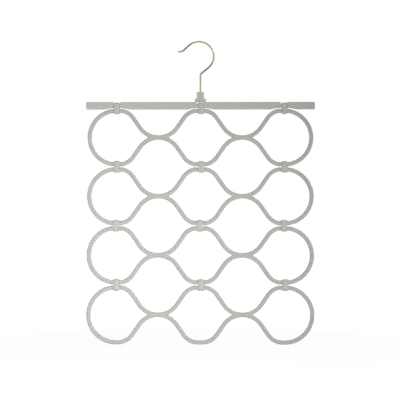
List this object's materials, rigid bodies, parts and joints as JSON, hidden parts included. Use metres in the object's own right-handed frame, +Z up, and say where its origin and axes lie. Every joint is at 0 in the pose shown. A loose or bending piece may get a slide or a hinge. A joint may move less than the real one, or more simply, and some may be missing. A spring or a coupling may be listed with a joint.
{
  "type": "scarf hanger",
  "caption": "Folding scarf hanger: a swivelling wire hook and a moulded top bar carry rows of joined rings on press-on clips, and the rows fold up against each other for storage.",
  "frame": {"origin": "point on the swivel axis where the inside of the hook rests on a rail", "axes": "+Z up along the swivel axis, +X to the right along the top bar seen from the front, +Y to the back"},
  "size_m": [0.365, 0.0096, 0.4834],
  "materials": {
    "hook_wire": "pale brass-coloured plating on steel wire, polished",
    "washer": "zinc-plated pressed steel",
    "bar_plastic": "warm light grey moulded polypropylene, satin",
    "row_plastic": "warm light grey moulded polypropylene, satin",
    "clip_plastic": "warm light grey moulded polypropylene, satin"
  },
  "bodies": {
    "hook": {"hook_wire": "hook_wire", "hook_washer": "washer"},
    "bar": {"top_bar": "bar_plastic"},
    "links_1": {"clip_1_left": "clip_plastic", "clip_1_centre": "clip_plastic", "clip_1_right": "clip_plastic"},
    "row_1": {"row_1": "row_plastic"},
    "links_2": {"clip_2_left": "clip_plastic", "clip_2_centre": "clip_plastic", "clip_2_right": "clip_plastic"},
    "row_2": {"row_2": "row_plastic"},
    "links_3": {"clip_3_left": "clip_plastic", "clip_3_centre": "clip_plastic", "clip_3_right": "clip_plastic"},
    "row_3": {"row_3": "row_plastic"},
    "links_4": {"clip_4_left": "clip_plastic", "clip_4_centre": "clip_plastic", "clip_4_right": "clip_plastic"},
    "row_4": {"row_4": "row_plastic"}
  },
  "joints": [
    {"name": "hook_swivel", "type": "hinge", "parent": "hook", "child": "bar", "pos_m": [0, 0, -0.0853], "axis": [0, 0, 1], "continuous": true},
    {"name": "links_1_swing", "type": "hinge", "parent": "bar", "child": "links_1", "pos_m": [0, 0, -0.1013], "axis": [1, 0, 0], "range_deg": [-90, 90]},
    {"name": "row_1_fold", "type": "hinge", "parent": "links_1", "child": "row_1", "pos_m": [0, 0, -0.1101], "axis": [-1, 0, 0], "range_deg": [-85, 85]},
    {"name": "links_2_swing", "type": "hinge", "parent": "row_1", "child": "links_2", "pos_m": [0, 0, -0.195], "axis": [1, 0, 0], "range_deg": [-90, 90]},
    {"name": "row_2_fold", "type": "hinge", "parent": "links_2", "child": "row_2", "pos_m": [0, 0, -0.2038], "axis": [1, 0, 0], "range_deg": [-85, 85]},
    {"name": "links_3_swing", "type": "hinge", "parent": "row_2", "child": "links_3", "pos_m": [0, 0, -0.2887], "axis": [-1, 0, 0], "range_deg": [-90, 90]},
    {"name": "row_3_fold", "type": "hinge", "parent": "links_3", "child": "row_3", "pos_m": [0, 0, -0.2975], "axis": [-1, 0, 0], "range_deg": [-85, 85]},
    {"name": "links_4_swing", "type": "hinge", "parent": "row_3", "child": "links_4", "pos_m": [0, 0, -0.3824], "axis": [1, 0, 0], "range_deg": [-90, 90]},
    {"name": "row_4_fold", "type": "hinge", "parent": "links_4", "child": "row_4", "pos_m": [0, 0, -0.3912], "axis": [1, 0, 0], "range_deg": [-85, 85]}
  ]
}
